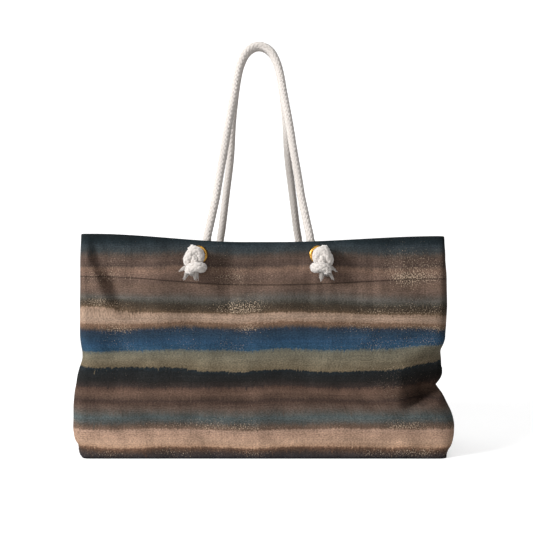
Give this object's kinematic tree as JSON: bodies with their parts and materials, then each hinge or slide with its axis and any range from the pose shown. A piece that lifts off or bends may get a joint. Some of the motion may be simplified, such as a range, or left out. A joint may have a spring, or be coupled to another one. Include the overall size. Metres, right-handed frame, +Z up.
{
  "type": "weekender bag",
  "caption": "Soft open-topped weekender tote with distressed striped canvas, a lined inside with a zip pocket, gold grommets and two braided rope handles.",
  "frame": {"origin": "centre of the base, on the surface the bag stands on", "axes": "+Z up, +X along the bag's length, -Y towards the front panel, on the side away from the zip pocket"},
  "size_m": [0.596, 0.22, 0.6448],
  "materials": {
    "printed_canvas": "polyester-cotton canvas printed with distressed horizontal stripes, dull",
    "lining_cotton": "plain weave natural cotton, dull",
    "base_board": "dark stiffening board, matte",
    "thread": "dark brown sewing thread",
    "brass": "satin gold-coloured brass",
    "cotton_rope": "off-white braided cotton rope",
    "zip_tape": "woven polyester zip tape",
    "zip_coil": "moulded nylon coil",
    "zip_metal": "satin gold-coloured cast metal"
  },
  "bodies": {
    "bag": {"outer_front": "printed_canvas", "outer_back": "printed_canvas", "outer_base": "printed_canvas", "facing_front": "printed_canvas", "facing_back": "printed_canvas", "lining_front": "lining_cotton", "lining_back": "lining_cotton", "lining_base": "lining_cotton", "base_board": "base_board", "side_seam_left": "printed_canvas", "side_seam_right": "printed_canvas", "hem_stitching_front": "thread", "hem_stitching_back": "thread", "grommet_front_left": "brass", "grommet_front_right": "brass", "grommet_back_left": "brass", "grommet_back_right": "brass", "washer_front_left": "brass", "washer_front_right": "brass", "washer_back_left": "brass", "washer_back_right": "brass", "knot_front_left": "cotton_rope", "knot_front_right": "cotton_rope", "knot_back_left": "cotton_rope", "knot_back_right": "cotton_rope", "rope_leg_front_left": "cotton_rope", "rope_leg_front_right": "cotton_rope", "rope_leg_back_left": "cotton_rope", "rope_leg_back_right": "cotton_rope", "pocket_panel": "lining_cotton", "zip_tape_upper": "zip_tape", "zip_tape_lower": "zip_tape", "zip_teeth_upper": "zip_coil", "zip_teeth_lower": "zip_coil", "zip_stops": "zip_metal"},
    "front_handle": {"rope_handle_front": "cotton_rope"},
    "back_handle": {"rope_handle_back": "cotton_rope"},
    "zip_slider": {"zip_slider": "zip_metal"},
    "zip_pull": {"zip_pull": "zip_metal"}
  },
  "joints": [
    {"name": "front_handle_fold", "type": "hinge", "parent": "bag", "child": "front_handle", "pos_m": [0, -0.0785, 0.326], "axis": [1, 0, 0], "range_deg": [0, 150]},
    {"name": "back_handle_fold", "type": "hinge", "parent": "bag", "child": "back_handle", "pos_m": [0, 0.0785, 0.326], "axis": [-1, 0, 0], "range_deg": [0, 150]},
    {"name": "zip_slide", "type": "slide", "parent": "bag", "child": "zip_slider", "axis": [1, 0, 0], "range_m": [0, 0.17]},
    {"name": "zip_pull_swing", "type": "hinge", "parent": "zip_slider", "child": "zip_pull", "pos_m": [-0.086, 0.07062, 0.23549], "axis": [-1, 0, 0], "range_deg": [0, 150]}
  ]
}
